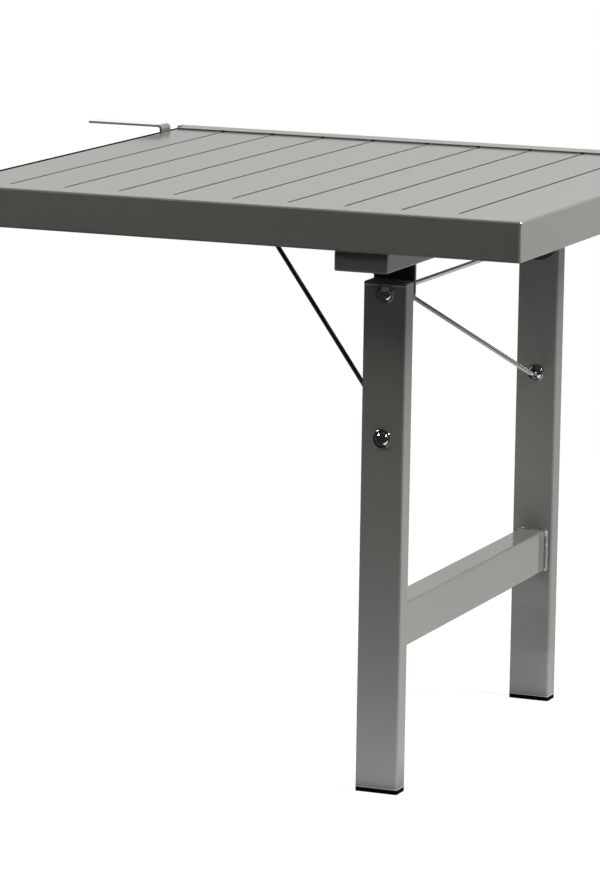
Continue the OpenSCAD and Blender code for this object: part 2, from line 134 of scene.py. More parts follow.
class PlasticSettings(bpy.types.PropertyGroup):
    """The moulded parts"""

    black: color_prop(
        "Black", "Colour of feet, end plates, edge strip, catch and block",
        (0.012, 0.012, 0.012))
    grey: color_prop(
        "Grey", "Colour of the plugs in the legs' top ends and the crossbar",
        (0.12, 0.124, 0.11))
    nylon: color_prop(
        "Nylon", "Colour of the washers between legs and hinge plates", (0.62, 0.60, 0.53))
    grain_depth: length_prop("Grain Depth", "Depth of the mould's grain", 0.04 * MM)


class FittingSettings(bpy.types.PropertyGroup):
    """Rods, caps, screws and welds"""

    steel: color_prop("Steel", "Colour of the drawn rods and the screws", (0.40, 0.40, 0.395))
    stainless: color_prop("Stainless", "Colour of the hanger bars", (0.95, 0.95, 0.94))
    chrome: color_prop("Chrome", "Colour of the caps on the pivots", (0.58, 0.59, 0.60))
    rod_radius: length_prop("Rod Radius", "Radius of the brace rods", 3 * MM)
    rod_bend: length_prop("Rod Bend", "Radius of the middle of a brace rod's bend", 9 * MM)
    bend_distance: length_prop(
        "Bend Distance", "Distance of the rods' bend from the legs' inner faces", 14 * MM)
    rod_spread: length_prop(
        "Rod Spread", "Half of the space between the rod ends in the block", 12 * MM)
    cap_rim: length_prop("Cap Rim", "Width of the rolled rim round a cap's dome", 2.4 * MM)
    screw_head: length_prop("Screw Head", "Radius of the screw heads", 4.5 * MM)
    screw_head_height: length_prop("Screw Head Height", "Height of the screw heads", 2.5 * MM)
    screw_shank: length_prop("Screw Shank", "Radius of the screws' shanks", 2.5 * MM)
    socket: length_prop(
        "Socket", "Half of the width across flats of the screws' sockets", 1.5 * MM)
    bead: length_prop("Weld Bead", "Radius of the weld beads", 3.6 * MM)
    seam: length_prop(
        "Corner Seam", "Radius of the ground seams down the top's corners", 1.5 * MM)
    rim: length_prop("Rim", "Radius of the eased rims at the leg tubes' ends", 0.7 * MM)
    tube_round: length_prop("Tube Round", "Radius of the leg tubes' long edges", 3 * MM)
    ripple: length_prop(
        "Weld Ripple", "Distance between two ripples of a weld bead", 3 * MM, 0.1 * MM)


class StageSettings(bpy.types.PropertyGroup):
    """Camera, floor and studio light"""

    camera_place: bpy.props.FloatVectorProperty(
        name="Camera Place", description="Place of the camera",
        size=3, subtype="TRANSLATION", unit="LENGTH", default=(2.298358, -5.630574, 1.460629))
    heading: angle_prop("Heading", "Turn of the camera about the upright", 22.18)
    pitch: angle_prop("Pitch", "Tilt of the camera up from straight down", 79.994)
    roll: angle_prop("Roll", "Turn of the camera about its own axis", 0.876)
    lens: bpy.props.FloatProperty(
        name="Lens", description="Focal length for a 36 mm sensor",
        min=1, unit="CAMERA", default=195.316)
    floor_size: length_prop("Floor Size", "Length of each side of the floor", 80, 1)
    floor_glow: factor_prop("Floor Glow", "Brightness of the floor in its own shadows", 0.92)
    floor_tone: factor_prop(
        "Floor Tone", "Share of light that the floor gives back to the table", 0.06)
    floor_tint: color_prop(
        "Floor Tint", "Colour of the light that comes up from the floor", (0.885, 0.86, 1.0))
    right_tint: color_prop(
        "Right Tint", "Colour of the two panels at the leg end", (0.975, 0.962, 1.0))
    ambient: strength_prop(
        "Ambient", "Strength of the light that comes to rough surfaces from all round", 0.0)
    gloss_near: strength_prop(
        "Near Floor In Gloss", "Brightness of the floor near the table in reflections", 1.12)
    gloss_far: strength_prop(
        "Far Floor In Gloss", "Brightness of the floor behind in reflections", 0.86)
    gloss_front: strength_prop(
        "Front In Gloss", "Brightness of all that lies before the table in reflections", 0.03)
    gloss_sky: strength_prop(
        "Backdrop In Gloss", "Brightness of the backdrop in reflections", 0.97)
    overhead_power: power_prop(
        "Overhead Power", "Power of the soft box over the table", 3)
    high_right_power: power_prop(
        "High Right Power", "Power of the panel high over the leg end", 120)
    right_power: power_prop(
        "Right Power", "Power of the panel beyond the leg end", 22)
    back_power: power_prop(
        "Back Power", "Power of the panel behind the table", 45)
    left_power: power_prop(
        "Left Power", "Power of the panel beyond the hanging end", 10)
    high_front_power: power_prop(
        "High Front Power", "Power of the soft box high before the table", 44)
    front_power: power_prop(
        "Front Power", "Power of the weak soft box beside the camera", 11)
    near_power: power_prop(
        "Near Floor Power", "Power of the light from the floor right before the legs", 1.98)
    under_power: power_prop(
        "Under Floor Power", "Power of the light from the floor under the table", 1.44)
    side_power: power_prop(
        "Side Floor Power", "Power of the light from the floor beside the leg frame", 0.62)
    fill_power: power_prop(
        "Fill Power", "Power of the card under the table that fills the back leg", 0.3)
    glint_power: power_prop(
        "Glint Power", "Power of each small lamp that makes the bright glints", 150)


SETTINGS = {
    "table_paint": PaintSettings,
    "table_plastic": PlasticSettings,
    "table_fittings": FittingSettings,
    "table_stage": StageSettings,
}


class Value:
    """A number socket, on which Python's operators add Math nodes"""

    def __init__(self, tree, socket):
        self.tree = tree
        self.socket = socket

    def math(self, operation, *operands):
        """The result of a Math node"""
        node = self.tree.node("ShaderNodeMath", {"operation": operation},
                              dict(enumerate(operands)))
        return Value(self.tree, node.outputs[0])

    def __add__(self, other):
        return self.math("ADD", self, other)

    __radd__ = __add__

    def __sub__(self, other):
        return self.math("SUBTRACT", self, other)

    def __rsub__(self, other):
        return self.math("SUBTRACT", other, self)

    def __mul__(self, other):
        return self.math("MULTIPLY", self, other)

    __rmul__ = __mul__

    def clamped(self):
        """The value, kept between 0 and 1"""
        return self.math("MINIMUM", self.math("MAXIMUM", self, 0.0), 1.0)

    def sine(self):
        """The sine of the value as an angle in radians"""
        return self.math("SINE", self)

    def ramp(self, low, high):
        """0 at low, 1 at high and smooth between"""
        node = self.tree.node(
            "ShaderNodeMapRange", {"interpolation_type": "SMOOTHSTEP"},
            {"Value": self, "From Min": low, "From Max": high})
        return Value(self.tree, node.outputs[0])


def toned(color, share):
    """A colour times a share, which makes it darker or lighter"""
    return tuple(channel * share for channel in color)


class Tree:
    """The emptied node tree of a material or of the world"""

    def __init__(self, owner):
        owner.use_nodes = True
        self.owner = owner
        self.nodes = owner.node_tree.nodes
        self.links = owner.node_tree.links
        self.nodes.clear()

    def node(self, kind, settings=None, sockets=None):
        """A new node: its settings come first, then the values or links of its sockets"""
        made = self.nodes.new(kind)
        for name, setting in (settings or {}).items():
            setattr(made, name, setting)
        for name, source in (sockets or {}).items():
            if isinstance(source, Value):
                source = source.socket
            if isinstance(source, bpy.types.NodeSocket):
                self.links.new(source, made.inputs[name])
            else:
                made.inputs[name].default_value = source
        return made

    def place(self, output="Object"):
        """Where a point lies: on the object in metres, or as another output tells"""
        return self.node("ShaderNodeTexCoord").outputs[output]

    def axis(self, vector, name):
        """One coordinate of a vector"""
        node = self.node("ShaderNodeSeparateXYZ", None, {0: vector})
        return Value(self, node.outputs[name])

    def stretched(self, vector, scale):
        """A vector whose coordinates are multiplied by the scale's"""
        return self.node("ShaderNodeVectorMath", {"operation": "MULTIPLY"},
                         {0: vector, 1: scale}).outputs[0]

    def noise(self, vector, size, detail):
        """Noise round 0 whose lumps have the given size in metres"""
        made = self.node("ShaderNodeTexNoise", None, {
            "Vector": vector, "Scale": 1 / size, "Detail": detail})
        return Value(self, made.outputs[0]) - 0.5

    def blend(self, factor, first, second):
        """The first colour where the factor is 0, and the second where it is 1"""
        colors = [color if isinstance(color, bpy.types.NodeSocket) else (*color, 1)
                  for color in (first, second)]
        return self.node("ShaderNodeMix", {"data_type": "RGBA"}, {
            0: factor, 6: colors[0], 7: colors[1]}).outputs[2]

    def tint(self, color, light):
        """A colour, made darker or lighter by a value round 0"""
        return self.blend((light + 0.5).clamped(), toned(color, 0.5), toned(color, 1.5))

    def bumps(self, height, depth):
        """The normal of a surface whose height, between -0.5 and 0.5, is depth metres"""
        return self.node("ShaderNodeBump", None, {
            "Strength": 1.0, "Distance": depth, "Height": height}).outputs[0]

    def rays(self):
        """1 for what the camera sees, also through clear things, and 1 for reflections"""
        path = self.node("ShaderNodeLightPath")
        seen = Value(self, path.outputs["Is Camera Ray"]) \
            + Value(self, path.outputs["Is Transmission Ray"])
        return seen.clamped(), Value(self, path.outputs["Is Glossy Ray"])

    def glow(self, kind, strength):
        """An evenly white shader that shines"""
        return self.node(kind, None, {"Color": (1, 1, 1, 1), "Strength": strength})

    def mixed(self, factor, first, second):
        """The first shader where the factor is 0, and the second where it is 1"""
        return self.node("ShaderNodeMixShader", None, {
            0: factor, 1: first.outputs[0], 2: second.outputs[0]})

    def finish(self, shader):
        """Links the last shader to the output, and gives the owner back"""
        kind = "ShaderNodeOutputWorld" if isinstance(self.owner, bpy.types.World) \
            else "ShaderNodeOutputMaterial"
        self.node(kind, None, {"Surface": shader.outputs[0]})
        return self.owner


def groove_shade(tree, place):
    """1 on the slats' sides, where the coat is painted with the shade of the gaps between them,
    and 0 on their top
    """
    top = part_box("slat_2")[1].z
    return 1 - tree.axis(place, "Z").ramp(top - 1.4 * MM, top - 0.3 * MM)


def joint_shade(tree, place):
    """1 round the slats' ends in the back rail, up to the middle of the rail's lip, and up to
    the lip's top where a groove ends: painted shade of the gap under the lip and of the grooves'
    open ends"""
    low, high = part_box("slat_2")
    lip_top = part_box("rail_back")[1].z
    across = tree.axis(place, "X")
    height = tree.axis(place, "Z")
    slats = [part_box(node) for node in frame["nodes"] if node.startswith("slat_")]
    slats.sort(key=lambda box: box[0].x)
    groove_ends = sum(
        across.ramp(left.x - 1.4 * MM, left.x - MM)
        - across.ramp(right.x + MM, right.x + 1.4 * MM)
        for (_, left), (right, _) in zip(slats, slats[1:]))
    lower_lip = 1 - height.ramp(high.z + 0.4 * MM, high.z + 1.5 * MM)
    whole_lip = 1 - height.ramp(lip_top - 0.2 * MM, lip_top - 0.05 * MM)
    inside = height.ramp(low.z - MM, low.z) \
        * (1 - tree.axis(place, "Y").ramp(high.y + 0.5 * MM, high.y + 0.9 * MM))
    return (lower_lip + groove_ends * whole_lip).clamped() * inside


def powder_coat(name, color, paint, skin, shade=None):
    """Satin powder coat: slow clouds, fine grains, orange peel and a thin smooth skin of the
    given roughness. Where the shade is 1, the coat is painted dark as shade and has no skin."""
    tree = Tree(bpy.data.materials.new(name))
    place = tree.place()
    clouds = tree.noise(place, 160 * MM, detail=3.0)
    grains = tree.noise(place, 0.9 * MM, detail=2.0)
    specks = tree.noise(place, 2.8 * MM, detail=1.0)
    peel = tree.noise(place, 2.1 * MM, detail=1.0)
    coat = tree.tint(color, clouds * 0.06 + grains * paint.fleck + specks * 0.04)
    gloss = paint.gloss
    if shade:
        # Painted shade: the coat turns to a dark tone of its colour and loses its skin
        shaded = shade(tree, place)
        coat = tree.blend(shaded, coat, toned(color, paint.painted_shade_tone))
        gloss = (1 - shaded) * paint.gloss
    shader = tree.node("ShaderNodeBsdfPrincipled", None, {
        "Base Color": coat,
        "Roughness": paint.roughness + clouds * 0.06 + grains * 0.10,
        "Specular IOR Level": 0.0,
        "Normal": tree.bumps(peel + grains * 0.3, paint.peel_depth),
        "Coat Weight": gloss,
        "Coat Roughness": skin,
    })
    return tree.finish(shader)


def moulded_plastic(name, color, grain_depth, roughness, shine=0.3):
    """Moulded plastic with a fine eroded grain and rubbed patches"""
    tree = Tree(bpy.data.materials.new(name))
    place = tree.place()
    grain = tree.noise(place, 0.6 * MM, detail=2.0)
    patches = tree.noise(place, 12 * MM, detail=3.0)
    shader = tree.node("ShaderNodeBsdfPrincipled", None, {
        "Base Color": tree.tint(color, patches * 0.2 + grain * 0.1),
        "Roughness": roughness + patches * 0.12,
        "Specular IOR Level": shine,
        "Normal": tree.bumps(grain, grain_depth),
    })
    return tree.finish(shader)


def drawn_steel(name, color):
    """Drawn, zinc plated steel: fine lines run along a rod, whose UV map is in metres"""
    tree = Tree(bpy.data.materials.new(name))
    place = tree.stretched(tree.place("UV"), (0.02, 1.0, 1.0))
    lines = tree.noise(place, 0.4 * MM, detail=2.0)
    stains = tree.noise(tree.place(), 20 * MM, detail=3.0)
    shader = tree.node("ShaderNodeBsdfPrincipled", None, {
        "Base Color": tree.tint(color, lines * 0.25 + stains * 0.12),
        "Metallic": 1.0,
        "Roughness": 0.12 + lines * 0.08 + stains * 0.04,
        "Normal": tree.bumps(lines, 0.006 * MM),
    })
    return tree.finish(shader)


def rolled_steel(name, color, bend_start, bend_end):
    """Polished flat steel of the hanger bars: rolling lines along X; darker, stained and rougher
    towards the bend
    """
    tree = Tree(bpy.data.materials.new(name))
    place = tree.place()
    lines = tree.noise(tree.stretched(place, (0.03, 1.0, 1.0)), 0.5 * MM, detail=2.0)
    stains = tree.noise(place, 30 * MM, detail=3.0)
    # Darker, stained and rougher from 8 mm before the bend's end onwards
    near_bend = tree.axis(place, "X").ramp(bend_start, bend_end)
    shader = tree.node("ShaderNodeBsdfPrincipled", None, {
        "Base Color": tree.blend(near_bend, tree.tint(color, lines * 0.06),
                                 tree.tint(toned(color, 0.3), stains * 0.3)),
        "Metallic": 0.75,
        "Roughness": 0.14 + lines * 0.08 + stains * 0.04 + near_bend * 0.2,
        "Normal": tree.bumps(lines, 0.003 * MM),
    })
    return tree.finish(shader)


def plated_steel(name, color):
    """Zinc plated steel of the screws and the pivot rod"""
    tree = Tree(bpy.data.materials.new(name))
    place = tree.place()
    spangle = tree.noise(place, 1.2 * MM, detail=3.0)
    stains = tree.noise(place, 8 * MM, detail=2.0)
    shader = tree.node("ShaderNodeBsdfPrincipled", None, {
        "Base Color": tree.tint(color, spangle * 0.12 + stains * 0.12),
        "Metallic": 1.0,
        "Roughness": 0.20 + spangle * 0.12,
        "Normal": tree.bumps(spangle, 0.008 * MM),
    })
    return tree.finish(shader)


def polished_cap(name, color):
    """Polished plating with fine turned rings. The caps' UV map holds the distance from their
    middle."""
    ring_width = 0.35 * MM
    tree = Tree(bpy.data.materials.new(name))
    rings = (tree.axis(tree.place("UV"), "X") * (2 * math.pi / ring_width)).sine()
    haze = tree.noise(tree.place(), 4 * MM, detail=3.0)
    shader = tree.node("ShaderNodeBsdfPrincipled", None, {
        "Base Color": tree.tint(color, haze * 0.10),
        "Metallic": 1.0,
        "Roughness": 0.07 + haze * 0.05 + rings * 0.01,
        "Normal": tree.bumps(rings * 0.25 + haze, 0.004 * MM),
    })
    return tree.finish(shader)


def weld_metal(name, color, roughness):
    """Lumpy weld metal in the coat's colour under a thick, shining skin"""
    tree = Tree(bpy.data.materials.new(name))
    lumps = tree.noise(tree.place(), 1.8 * MM, detail=3.0)
    shader = tree.node("ShaderNodeBsdfPrincipled", None, {
        "Base Color": tree.tint(color, lumps * 0.12),
        "Roughness": roughness + lumps * 0.1,
        "Normal": tree.bumps(lumps, 0.12 * MM),
        "Coat Weight": 1.0,
        "Coat Roughness": 0.08,
        "Coat IOR": 2.8,
    })
    return tree.finish(shader)


def make_materials(scene):
    """Every finish of the table. Most have the name of a slot in the record."""
    paint = scene.table_paint
    plastic = scene.table_plastic
    fittings = scene.table_fittings
    bend_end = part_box("hanger_bar_front")[1].x - 2 * MM
    return {
        "frame_paint": powder_coat(
            "frame_paint", paint.top_color, paint, paint.top_skin),
        # The slats' sides carry painted shade: a dark coat without skin in the gaps between
        # slats
        "slat_paint": powder_coat(
            "slat_paint", paint.top_color, paint, paint.top_skin, groove_shade),
        # The back rail carries painted shade under its lip and at the ends of the grooves
        "back_rail_paint": powder_coat(
            "back_rail_paint", paint.top_color, paint, paint.top_skin, joint_shade),
        "leg_paint": powder_coat("leg_paint", paint.leg_color, paint, paint.leg_skin),
        "dark_steel": powder_coat("dark_steel", paint.dark_color, paint, paint.top_skin),
        "black_plastic": moulded_plastic(
            "black_plastic", plastic.black, plastic.grain_depth, 0.6, 0.0),
        "nylon": moulded_plastic("nylon", plastic.nylon, plastic.grain_depth / 2, 0.5),
        "steel_rod": drawn_steel("steel_rod", fittings.steel),
        "screw_steel": plated_steel("screw_steel", fittings.steel),
        "bright_cap": polished_cap("bright_cap", fittings.chrome),
        "hanger_steel": rolled_steel(
            "hanger_steel", fittings.stainless, bend_end - 8 * MM, bend_end),
        "grey_plastic": moulded_plastic("grey_plastic", plastic.grey, plastic.grain_depth, 0.38),
        # The rims at the tubes' ends get a lighter coat as a painted highlight
        "painted_rim_highlight": powder_coat("painted_rim_highlight", paint.rim_highlight_color, paint, paint.edge_skin),
        "weld": weld_metal("weld", paint.leg_color, paint.roughness),
    }


# Every finish by its name, filled in by the first operator
MATERIALS = {}


def finish_name(node, slot):
    """The finish of a CAD node: its slot's, or one of its own"""
    if node.startswith("slat_"):
        return "slat_paint"
    return {"rail_back": "back_rail_paint", "pivot_rod": "screw_steel"}.get(node, slot)


def coat_slots(*slots):
    """Gives every CAD node of these slots its finish"""
    for part in frame["record"]["subparts"]:
        if part["material_slot"] not in slots:
            continue
        finish = MATERIALS[finish_name(part["node"], part["material_slot"])]
        for place in frame["nodes"][part["node"]].material_slots:
            place.link = "OBJECT"
            place.material = finish


def middle(node):
    """The middle of a CAD node's box"""
    low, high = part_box(node)
    return (low + high) / 2


def end_y(node, side):
    """Where a CAD node's box ends to the front, for a side of -1, or to the back"""
    low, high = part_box(node)
    return low.y if side < 0 else high.y


def shell(rings, looped=False):
    """A bmesh from rings of (point, u, v): quads join each ring to the next. The last ring
    joins the first, or a face closes each end."""
    mesh = bmesh.new()
    layer = mesh.loops.layers.uv.new("UVMap")
    rows = [[mesh.verts.new(point) for point, _, _ in ring] for ring in rings]
    count = len(rings)
    sides = len(rings[0])
    for a in range(count if looped else count - 1):
        b = (a + 1) % count
        for i in range(sides):
            j = (i + 1) % sides
            corners = ((a, i), (a, j), (b, j), (b, i))
            face = mesh.faces.new([rows[row][column] for row, column in corners])
            face.smooth = True
            for loop, (row, column) in zip(face.loops, corners):
                loop[layer].uv = rings[row][column][1:]
    if not looped:
        mesh.faces.new(rows[0][::-1])
        mesh.faces.new(rows[-1])
    bmesh.ops.recalc_face_normals(mesh, faces=mesh.faces)
    return mesh


def tube(path, radii, sides, looped=False):
    """A round tube along a path, with one radius or one for each point, and with its UV map
    in metres along and around"""
    count = len(path)
    rings = []
    travelled = 0.0
    normal = None
    for i, point in enumerate(path):
        before = path[i - 1] if i or looped else point
        after = path[(i + 1) % count] if i + 1 < count or looped else point
        forward = (after - before).normalized()
        if normal is None:
            normal = forward.orthogonal().normalized()
        normal = (normal - forward * normal.dot(forward)).normalized()
        across = forward.cross(normal)
        if i:
            travelled += (point - path[i - 1]).length
        radius = radii[i] if isinstance(radii, list) else radii
        ring = []
        for k in range(sides):
            angle = 2 * math.pi * k / sides
            offset = (normal * math.cos(angle) + across * math.sin(angle)) * radius
            ring.append((point + offset, travelled, angle * radius))
        rings.append(ring)
    return shell(rings, looped)


def rounded_corner(start, corner, end, radius, steps):
    """The points of an arc that rounds the corner between two straight runs"""
    back = (start - corner).normalized()
    ahead = (end - corner).normalized()
    half = back.angle(ahead) / 2
    reach = radius / math.tan(half)
    centre = corner + (back + ahead).normalized() * (radius / math.sin(half))
    first = corner + back * reach - centre
    last = corner + ahead * reach - centre
    sweep = first.angle(last)
    points = []
    for i in range(steps + 1):
        t = i / steps
        mix = (first * math.sin((1 - t) * sweep) + last * math.sin(t * sweep)) / math.sin(sweep)
        points.append(centre + mix)
    return points


def hexagon(angle, half_width):
    """The distance from a hexagon's middle to its edge at an angle"""
    sixth = math.pi / 3
    return half_width / math.cos((angle % sixth) - sixth / 2)


def turned(profile, place, direction, sides):
    """A body of revolution. The profile holds (radius, height) pairs, and (None, height, half
    width) for a hexagon at that height."""
    direction = Vector(direction)
    side = direction.orthogonal().normalized()
    across = direction.cross(side)
    rings = []
    for entry in profile:
        ring = []
        for k in range(sides):
            angle = 2 * math.pi * k / sides
            radius = hexagon(angle, entry[2]) if entry[0] is None else entry[0]
            offset = (side * math.cos(angle) + across * math.sin(angle)) * radius
            ring.append((place + offset + direction * entry[1], radius, angle * radius))
        rings.append(ring)
    return shell(rings)


def joined(meshes):
    """One bmesh from several"""
    whole = bmesh.new()
    for part in meshes:
        carrier = bpy.data.meshes.new("carrier")
        part.to_mesh(carrier)
        part.free()
        whole.from_mesh(carrier)
        bpy.data.meshes.remove(carrier)
    return whole


def add_piece(name, shape, material, body, replaced=()):
    """Puts a new piece of the table in the scene, on its body"""
    mesh = bpy.data.meshes.new(name)
    shape.to_mesh(mesh)
    shape.free()
    mesh.materials.append(MATERIALS[material])
    mesh.set_sharp_from_angle(angle=SHARP_ANGLE)
    piece = bpy.data.objects.new(name, mesh)
    bpy.context.scene.collection.objects.link(piece)
    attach(piece, body)
    if replaced:
        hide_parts(*replaced)


class TABLE_OT_coat_metalwork(bpy.types.Operator):
    """Coats rails, slats, beam, crossbar, hinge plates, legs and stretcher"""

    bl_idname = "table.coat_metalwork"
    bl_label = "Coat Metalwork"

    def execute(self, context):
        MATERIALS.update(make_materials(context.scene))
        coat_slots("frame_paint", "leg_paint", "dark_steel")
        return {"FINISHED"}


class TABLE_OT_mould_plastics(bpy.types.Operator):
    """Gives feet, plugs, end plates, edge strip, catch, block and washers their finish"""

    bl_idname = "table.mould_plastics"
    bl_label = "Mould Plastics"

    def execute(self, context):
        coat_slots("black_plastic", "grey_plastic", "nylon")
        return {"FINISHED"}


class TABLE_OT_bend_rods(bpy.types.Operator):
    """Bends the two brace rods with a real radius, and finishes pivot rod and hanger bars"""

    bl_idname = "table.bend_rods"
    bl_label = "Bend Rods"

    def execute(self, context):
        fittings = context.scene.table_fittings
        coat_slots("steel_rod", "hanger_steel")
        block = middle("brace_block")
        for side, name in SIDES:
            pivot = middle("brace_cap_" + name)
            bend_y = end_y("leg_" + name, -side) - side * fittings.bend_distance
            outer = Vector((pivot.x, end_y("brace_rod_" + name, side), pivot.z))
            bend = Vector((pivot.x, bend_y, pivot.z))
            end = Vector((block.x, side * fittings.rod_spread, block.z))
            arc = rounded_corner(outer, bend, end, fittings.rod_bend, steps=12)
            along = [outer.lerp(arc[0], t / 4) for t in range(4)]
            run = [arc[-1].lerp(end, t / 12) for t in range(1, 13)]
            shape = tube(along + arc + run, fittings.rod_radius, sides=28)
            add_piece("bent_rod_" + name, shape, "steel_rod", "brace",
                      ("brace_rod_" + name,))
        return {"FINISHED"}


def dome_profile(radius, height, rim, hole=0.0):
    """A pressed dome with a rolled rim, from its flat back to its middle or to the edge of a
    hole for a rod"""
    back_edge = 0.3 * MM
    roll = rim / 2
    roll_height = 0.7 * MM
    dome_start = MM
    profile = [(hole or CENTRE_RING, 0.0), (radius - back_edge, 0.0), (radius, back_edge)]
    for i in range(9):
        angle = math.pi * i / 8
        profile.append((radius - roll + roll * math.cos(angle),
                        roll_height + roll * math.sin(angle)))
    start = radius - rim
    rise = height - dome_start
    sphere = (start * start + rise ** 2) / (2 * rise)
    for i in range(15):
        reach = start - (start - hole) * i / 14
        profile.append((max(reach, CENTRE_RING),
                        math.sqrt(sphere * sphere - reach * reach) - (sphere - height)))
    return profile


class TABLE_OT_press_caps(bpy.types.Operator):
    """Presses the domed caps and washers on the pivots"""

    bl_idname = "table.press_caps"
    bl_label = "Press Caps"

    def execute(self, context):
        fittings = context.scene.table_fittings
        rod_hole = fittings.rod_radius + 0.05 * MM
        for side, name in SIDES:
            for kind, body, outward, hole in (
                    ("pivot_cap_", "leg_frame", side, 0.0),
                    ("brace_cap_", "brace", side, 0.0),
                    ("brace_washer_", "brace", -side, rod_hole)):
                low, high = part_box(kind + name)
                place = middle(kind + name)
                place.y = end_y(kind + name, -outward)
                profile = dome_profile(
                    (high.x - low.x) / 2, high.y - low.y, fittings.cap_rim, hole)
                shape = turned(profile, place, (0, outward, 0), sides=72)
                add_piece("pressed_" + kind + name, shape, "bright_cap", body,
                          (kind + name,))
        return {"FINISHED"}


def screw_profile(fittings, length):
    """A button head with a hexagonal socket, from the socket's floor to the shank's tip. The
    height is 0 under the head."""
    head = fittings.screw_head
    tall = fittings.screw_head_height
    socket = fittings.socket
    shank = fittings.screw_shank
    socket_floor = 0.55 * tall - tall
    socket_edge = 0.2 * MM
    head_edge = 0.3 * MM
    tip = 0.8 * MM
    profile = [(CENTRE_RING, socket_floor), (None, socket_floor, socket),
               (None, socket_edge - tall, socket), (socket * 1.2 + head_edge, -tall)]
    for i in range(7):
        angle = math.pi / 2 * i / 6
        profile.append((head - (head - socket * 1.6) * (1 - math.sin(angle)),
                        -head_edge - (tall - head_edge) * math.cos(angle)))
    profile += [(head, 0.0), (shank, 0.0), (shank, length - MM), (shank - tip, length),
                (CENTRE_RING, length)]
    return profile


class TABLE_OT_drive_screws(bpy.types.Operator):
    """Drives the button head screws of the catch, the crossbar and the hanger bars, one in
    each corner of the box that a CAD node's screws fill"""

    bl_idname = "table.drive_screws"
    bl_label = "Drive Screws"

    def execute(self, context):
        fittings = context.scene.table_fittings
        for node, axis in (("catch_screws", 2), ("crossbar_screws", 2), ("hanger_screws", 0)):
            low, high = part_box(node)
            direction = Vector((0, 0, 0))
            direction[axis] = 1
            spans = []
            for i in range(3):
                if i == axis:
                    spans.append([low[i] + fittings.screw_head_height])
                elif high[i] - low[i] < 3 * fittings.screw_head:
                    spans.append([(low[i] + high[i]) / 2])
                else:
                    spans.append([low[i] + fittings.screw_head, high[i] - fittings.screw_head])
            length = high[axis] - low[axis] - fittings.screw_head_height
            profile = screw_profile(fittings, length)
            screws = [turned(profile, Vector((x, y, z)), direction, sides=48)
                      for x in spans[0] for y in spans[1] for z in spans[2]]
            add_piece("driven_" + node, joined(screws), "screw_steel", "top",
                      (node,))
        return {"FINISHED"}


def bead(start, end, radius, ripple, seed):
    """A straight weld bead: ripples overlap like scales, and both ends are thin"""
    chance = random.Random(seed)
    steps = max(1, round((end - start).length / (ripple / RIPPLE_STEPS)))
    points = [start.lerp(end, t / steps) for t in range(steps)] + [end]
    radii = []
    travelled = 0.0
    for i, point in enumerate(points):
        if i:
            travelled += (point - points[i - 1]).length
        if i % RIPPLE_STEPS == 0:
            swell = 1 + chance.uniform(-0.07, 0.07)
        scale = 0.93 - 0.13 * (travelled / ripple % 1.0)
        radii.append(radius * swell * scale)
    for i in range(RIPPLE_STEPS):
        taper = 0.35 + 0.13 * i
        radii[i] *= taper
        radii[-1 - i] *= taper
    return tube(points, radii, sides=14)


def drop(place, radius):
    """A round drop of weld metal"""
    turns = [math.radians(15 * i) for i in range(-5, 6)]
    path = [place + Vector((0, 0, math.sin(turn) * radius)) for turn in turns]
    return tube(path, [math.cos(turn) * radius for turn in turns], sides=20)


class TABLE_OT_lay_welds(bpy.types.Operator):
    """Lays the weld beads beside the stretcher's ends, with the drops where they were begun
    and ended, and the beads along the hinge plates' upper edges"""

    bl_idname = "table.lay_welds"
    bl_label = "Lay Welds"

    def execute(self, context):
        fittings = context.scene.table_fittings
        radius = fittings.bead
        ripple = fittings.ripple
        proud = radius * 0.45
        low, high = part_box("stretcher")
        for side, name in SIDES:
            y = end_y("stretcher", side)
            runs = [bead(Vector((x, y, low.z + MM)), Vector((x, y, high.z)), radius, ripple,
                         11 + side)
                    for x in (low.x - proud, high.x + proud)]
            runs += [drop(Vector((low.x + 5.5 * MM, y, high.z + MM)), radius * 0.75),
                     drop(Vector((high.x, y, high.z - 3 * MM)), radius * 1.4)]
            add_piece("stretcher_weld_" + name, joined(runs), "weld", "leg_frame")
            plate_low, plate_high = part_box("hinge_plate_" + name)
            left = plate_low.x + 5 * MM
            right = plate_high.x - 5 * MM
            runs = [bead(Vector((left, y, plate_high.z)), Vector((right, y, plate_high.z)),
                         radius, ripple, 23 + side)
                    for y in (plate_low.y, plate_high.y)]
            add_piece("plate_weld_" + name, joined(runs), "weld", "top")
        return {"FINISHED"}


class TABLE_OT_seam_corners(bpy.types.Operator):
    """Lays a seam down each mitred corner at the leg end, and a ground flat at its top"""

    bl_idname = "table.seam_corners"
    bl_label = "Seam Corners"

    def execute(self, context):
        fittings = context.scene.table_fittings
        seam = fittings.seam
        low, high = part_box("rail_leg_end")
        for side, name in SIDES:
            corner_y = end_y("rail_leg_end", side)
            x = high.x - seam
            y = corner_y - side * seam
            run = bead(Vector((x, y, low.z + 3 * MM)), Vector((x, y, high.z - 3 * MM)), seam,
                       fittings.ripple, 31)
            place = Vector((high.x - 0.65 * MM, corner_y - side * 0.6 * MM, high.z - 0.75 * MM))
            # The flat faces out over the corner and a little up, and so catches the light
            facing = Vector((0.55, side * 0.74, 0.38)).normalized()
            flat = turned([(seam * 0.8, -seam), (seam * 0.47, 0.0)], place, facing,
                          sides=16)
            add_piece("corner_seam_" + name, joined([run, flat]), "weld", "top")
        return {"FINISHED"}


def rim_path(low, high, z, fittings):
    """A level path round a leg tube, whose middle lies just inside the tube's faces"""
    inset = fittings.rim * 0.5
    radius = fittings.tube_round - inset
    points = []
    for sign_x, sign_y, first in ((1, 1, 0), (-1, 1, 90), (-1, -1, 180), (1, -1, 270)):
        corner_x = high.x if sign_x > 0 else low.x
        corner_y = high.y if sign_y > 0 else low.y
        centre = Vector((corner_x - sign_x * (inset + radius),
                         corner_y - sign_y * (inset + radius), z))
        for i in range(7):
            angle = math.radians(first + 15 * i)
            points.append(centre + Vector((math.cos(angle), math.sin(angle), 0)) * radius)
    return points


